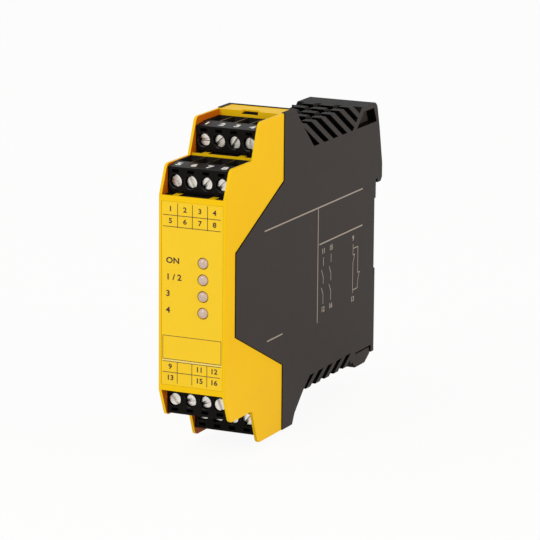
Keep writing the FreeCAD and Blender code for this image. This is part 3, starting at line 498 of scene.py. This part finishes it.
# ---- Front label ----
# A printed film in the cover's recess: tables of plain numbers above and below, names beside the
# lights and an empty marker field. The ink lies on the film as a thin layer.

film = Finish("label_film", (0.99, 0.64, 0.02), 0.36, specular=0.18)
film.shade(0.03, film.noise(9 * MM, 3.0))
film.bump(film.noise(0.3 * MM, 2.0), 0.004 * MM)
moulded("front_label", "housing", film.material, 0.03 * MM, segments=1)

INK = 0.015 * MM
LETTER_WIDE = 1.12


def plane(across, up, origin):
    """The placing of a print: its right, its up and its origin, with the ink rising from the face."""
    across, up = Vector(across), Vector(up)
    placed = Matrix((across, up, across.cross(up))).transposed().to_4x4()
    placed.translation = origin
    return placed


def lettering(print_mesh, face, words, at, size, align="CENTER", bold=0.028):
    """Adds the letters of a word to a print, `size` millimetres from line to line."""
    curve = bpy.data.curves.new("letters", "FONT")
    curve.body = words
    curve.size = size
    curve.extrude = INK / MM / 2
    curve.offset = size * bold
    curve.resolution_u = 3
    curve.align_x = align
    curve.align_y = "CENTER"
    item = bpy.data.objects.new("letters", curve)
    bpy.context.scene.collection.objects.link(item)
    shown = item.evaluated_get(bpy.context.evaluated_depsgraph_get())
    letters = bpy.data.meshes.new_from_object(shown)
    place = Matrix.Translation((at[0], at[1], INK / MM / 2)) @ Matrix.Diagonal((LETTER_WIDE, 1, 1, 1))
    letters.transform(face @ Matrix.Scale(MM, 4) @ place)
    print_mesh.from_mesh(letters)
    bpy.data.objects.remove(item)
    bpy.data.curves.remove(curve)
    bpy.data.meshes.remove(letters)


def rule(print_mesh, face, start, end, width):
    """Adds a straight printed line to a print, in millimetres on its face."""
    start, end = Vector(start), Vector(end)
    middle = (start + end) / 2
    size = Matrix.Diagonal(((end - start).length, width, INK / MM, 1))
    turn = Matrix.Rotation(math.atan2(end.y - start.y, end.x - start.x), 4, "Z")
    place = Matrix.Translation((middle.x, middle.y, INK / MM / 2))
    bmesh.ops.create_cube(print_mesh, size=1, matrix=face @ Matrix.Scale(MM, 4) @ place @ turn @ size)


def ink(name, color):
    """Screen-printing ink, slightly uneven and satin."""
    finish = Finish(name, color, 0.45)
    finish.shade(0.15, finish.noise(0.8 * MM, 3.0))
    return finish.material


label_face = plane((1, 0, 0), (0, 0, 1), (0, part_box("front_label")[0][1], 0))
COLUMNS = (-7.15, -2.4, 2.5, 7.3)
DIVIDERS = (-4.8, 0.05, 5.0)
TABLE_LINE, FIELD_LINE = 0.2, 0.17
TABLE_LETTERS, NAME_LETTERS = 2.15, 2.5
LABEL_TABLES = (
    # rows of (height, words), ruled lines, then the dividers' top and bottom
    (((26.35, "1 2 3 4"), (22.75, "5 6 7 8")), (24.5, 21.05), 28.2, 20.85),
    (((-21.55, "9 - 11 12"), (-24.95, "13 - 15 16")), (-23.25,), -19.9, -26.5),
)
dark_print = bmesh.new()
for rows, lines, top, bottom in LABEL_TABLES:
    for height, words in rows:
        for across, word in zip(COLUMNS, words.split()):
            if word != "-":
                lettering(dark_print, label_face, word, (across, height), TABLE_LETTERS)
    for height in lines:
        rule(dark_print, label_face, (-9.65, height), (9.3, height), TABLE_LINE)
    for across in DIVIDERS:
        rule(dark_print, label_face, (across, bottom), (across, top), TABLE_LINE)
for index, word in enumerate(("ON", "1 / 2", "3", "4")):
    height = (lights_high[2] - light_radius - light_pitch * index) / MM
    lettering(dark_print, label_face, word, (-8.6, height - 0.1), NAME_LETTERS, align="LEFT")
# the marker field is a frame of dark rules, with a painted highlight as a pale line between its two lower
# rules
FIELD_TOP, FIELD_LOW, FIELD_HALF = -12.1, -19.2, 9.6
for height in (FIELD_TOP, FIELD_LOW, FIELD_LOW - 0.75):
    rule(dark_print, label_face, (-FIELD_HALF, height), (FIELD_HALF, height), FIELD_LINE)
for across in (-FIELD_HALF, FIELD_HALF):
    rule(dark_print, label_face, (across, FIELD_LOW), (across, FIELD_TOP), FIELD_LINE)
finished("label_ink", dark_print, "housing", ink("dark_ink", (0.035, 0.012, 0.006)))
painted_highlight_mesh = bmesh.new()
painted_highlight_height = FIELD_LOW - 0.38
rule(painted_highlight_mesh, label_face, (-FIELD_HALF, painted_highlight_height), (FIELD_HALF, painted_highlight_height), 0.4)
# the pale line takes the ink finish but is a painted highlight
finished("label_highlight", painted_highlight_mesh, "housing", ink("painted_highlight", (0.95, 0.72, 0.22)))

# ---- Numbers on the plugs ----
# White numbers on the sloping strip above the screws of each plug, printed before the plugs are
# pushed home. The lower plugs are the same part, turned upside down.

strip_ink = ink("white_ink", (0.82, 0.80, 0.76))
STRIPS = {
    "upper_back": "1 2 3 4",
    "upper_front": "5 6 7 8",
    "lower_front": "9 10 11 12",
    "lower_back": "13 14 15 16",
}
STRIP_DEEP, STRIP_RISE, POLE_PITCH, STRIP_LETTERS = 5.8, 0.7, 5.0, 3.4
for place, words in STRIPS.items():
    low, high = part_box(f"plug_{place}")
    side = 1 if place.startswith("upper") else -1
    edge = (high[2] if side > 0 else low[2]) - side * STRIP_RISE * MM
    slope = Vector((0, STRIP_DEEP, side * STRIP_RISE)).normalized()
    strip = plane((side, 0, 0), slope, (0, low[1], edge))
    numbers = bmesh.new()
    for index, word in enumerate(words.split()):
        across = side * (index - 1.5) * POLE_PITCH
        lettering(numbers, strip, word, (across - 0.2, STRIP_DEEP * 0.5), STRIP_LETTERS, bold=0.035)
    finished(f"numbers_{place}", numbers, f"plug_{place}", strip_ink)

# ---- Print on the right side ----
# Light grey ruled lines and the contact diagrams of the outputs, with the numbers of their poles. All
# is laid out in millimetres back from the front face and up from the rail's middle.

wall_face = plane((0, 1, 0), (0, 0, 1), (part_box("rear_housing")[1][0], -109.6 * MM, 0))
side_print = bmesh.new()
RULES = (
    ((26.2, 16.35), (99.0, 16.35)),
    ((66.2, 4.5), (99.2, 4.5)),
    ((65.1, 16.3), (65.1, -20.2)),
    ((28.5, -18.1), (39.5, -18.1)),
)
RULE_WIDE, WIRE_WIDE, SIDE_LETTERS = 0.42, 0.3, 2.3
for start, end in RULES:
    rule(side_print, wall_face, start, end, RULE_WIDE)

# chains of two make contacts in line: wires and open blades, as (across, share of the chain) points
CHAIN_TOP, CHAIN_LENGTH = 2.75, 20.6
CHAINS = ((69.3, "11", "12"), (75.1, "15", "16"))
CHAIN_WIRES = (
    ((0, 0.14), (0, 0.27)),
    ((-1.4, 0.325), (0, 0.44), (0, 0.55)),
    ((-1.4, 0.6), (0, 0.715), (0, 0.86)),
)
# two break contacts side by side
LEFT, RIGHT = 92.1, 95.9
BREAK_WIRES = (
    ((LEFT, -0.4), (LEFT, -3.9), (LEFT + 1.6, -3.9)),
    ((LEFT, -1.8), (RIGHT, -1.8), (RIGHT, -10.3), (RIGHT + 1.7, -10.3)),
    ((LEFT + 1.4, -3.9), (LEFT, -6.4), (LEFT, -16.3)),
    ((RIGHT + 1.3, -10.3), (RIGHT, -13.3), (RIGHT, -15.3), (LEFT, -15.3)),
)


def wires(points):
    """Adds a bent line to the side print."""
    for start, end in zip(points, points[1:]):
        rule(side_print, wall_face, start, end, WIRE_WIDE)


def chain_height(share):
    """The height at a share of the way down a chain."""
    return CHAIN_TOP - share * CHAIN_LENGTH


for across, first, last in CHAINS:
    for points in CHAIN_WIRES:
        wires([(across + aside, chain_height(share)) for aside, share in points])
    lettering(side_print, wall_face, first, (across, chain_height(0.045)), SIDE_LETTERS)
    lettering(side_print, wall_face, last, (across, chain_height(0.95)), SIDE_LETTERS)
for points in BREAK_WIRES:
    wires(points)
lettering(side_print, wall_face, "9", (LEFT, 1.5), SIDE_LETTERS)
lettering(side_print, wall_face, "13", (LEFT, -18.3), SIDE_LETTERS)
finished("side_ink", side_print, "housing", ink("grey_ink", (0.36, 0.31, 0.26)))

# ---- Camera, floor and light ----
# A long lens, three quarters from the right and slightly above. The module stands on white paper
# under two soft lamps, and the paper and the studio's walls look evenly white.

azimuth, elevation, roll = math.radians(25.09), math.radians(12.8), math.radians(0.49)
aim = Vector((-0.2, -55.0, -2.4)) * MM
distance = 1078.6 * MM
toward = Vector((-math.sin(azimuth) * math.cos(elevation), math.cos(azimuth) * math.cos(elevation),
                 -math.sin(elevation)))
camera_data = bpy.data.cameras.new("camera")
camera_data.lens = 232.7
camera_data.sensor_width = 36
camera_data.clip_end = 10
camera = bpy.data.objects.new("camera", camera_data)
bpy.context.scene.collection.objects.link(camera)
camera.location = aim - toward * distance
turn = toward.to_track_quat("-Z", "Y").to_matrix() @ Matrix.Rotation(roll, 3, "Z")
camera.rotation_euler = turn.to_euler()
bpy.context.scene.camera = camera


def white_to_the_eye(tree, lit, share):
    """Mixes a plain white over a lit shader for what the camera, gloss and glass see of it."""
    path = tree.nodes.new("ShaderNodeLightPath")
    seen = path.outputs["Is Camera Ray"]
    for ray in ("Is Glossy Ray", "Is Transmission Ray"):
        either = tree.nodes.new("ShaderNodeMath")
        either.operation = "MAXIMUM"
        tree.links.new(seen, either.inputs[0])
        tree.links.new(path.outputs[ray], either.inputs[1])
        seen = either.outputs[0]
    factor = tree.nodes.new("ShaderNodeMath")
    factor.operation = "MULTIPLY"
    tree.links.new(seen, factor.inputs[0])
    factor.inputs[1].default_value = share
    white = tree.nodes.new("ShaderNodeEmission")
    white.inputs["Color"].default_value = (1, 1, 1, 1)
    white.inputs["Strength"].default_value = 1.0
    mixed = tree.nodes.new("ShaderNodeMixShader")
    tree.links.new(factor.outputs[0], mixed.inputs[0])
    tree.links.new(lit, mixed.inputs[1])
    tree.links.new(white.outputs[0], mixed.inputs[2])
    return mixed.outputs[0]


lowest = cad_box[0][2]
ground = bmesh.new()
bmesh.ops.create_grid(ground, x_segments=2, y_segments=2, size=3.0)
bmesh.ops.translate(ground, verts=ground.verts, vec=(0, 0, lowest - 2 * MM))
floor_data = bpy.data.meshes.new("floor")
ground.to_mesh(floor_data)
ground.free()
floor_white = bpy.data.materials.new("floor_white")
floor_white.use_nodes = True
floor_tree = floor_white.node_tree
floor_shader = floor_tree.nodes["Principled BSDF"]
floor_shader.inputs["Base Color"].default_value = (0.9, 0.9, 0.9, 1)
floor_shader.inputs["Roughness"].default_value = 0.9
floor_shader.inputs["Specular IOR Level"].default_value = 0.0
floor_seen = white_to_the_eye(floor_tree, floor_shader.outputs[0], 0.93)
floor_tree.links.new(floor_seen, floor_tree.nodes["Material Output"].inputs["Surface"])
floor_data.materials.append(floor_white)
floor = bpy.data.objects.new("floor", floor_data)
bpy.context.scene.collection.objects.link(floor)

world = bpy.data.worlds.new("studio")
world.use_nodes = True
sky = world.node_tree.nodes["Background"]
sky.inputs["Color"].default_value = (1, 1, 1, 1)
sky.inputs["Strength"].default_value = 0.6
sky_seen = white_to_the_eye(world.node_tree, sky.outputs[0], 1.0)
world.node_tree.links.new(sky_seen, world.node_tree.nodes["World Output"].inputs["Surface"])
bpy.context.scene.world = world


def softbox(name, place, size, power, color=(1, 1, 1), target=(0, -55 * MM, 0)):
    """A square studio lamp that points at the module."""
    lamp = bpy.data.lights.new(name, "AREA")
    lamp.shape = "SQUARE"
    lamp.size = size
    lamp.energy = power
    lamp.color = color
    item = bpy.data.objects.new(name, lamp)
    bpy.context.scene.collection.objects.link(item)
    item.location = place
    item.rotation_euler = (Vector(target) - Vector(place)).to_track_quat("-Z", "Y").to_euler()


softbox("front_light", (-0.35, -0.95, 0.7), 0.5, 4.0)
softbox("right_light", (1.1, -0.2, 0.4), 0.6, 4.2, color=(1.0, 0.77, 0.56))
bpy.context.scene.view_settings.view_transform = "Standard"
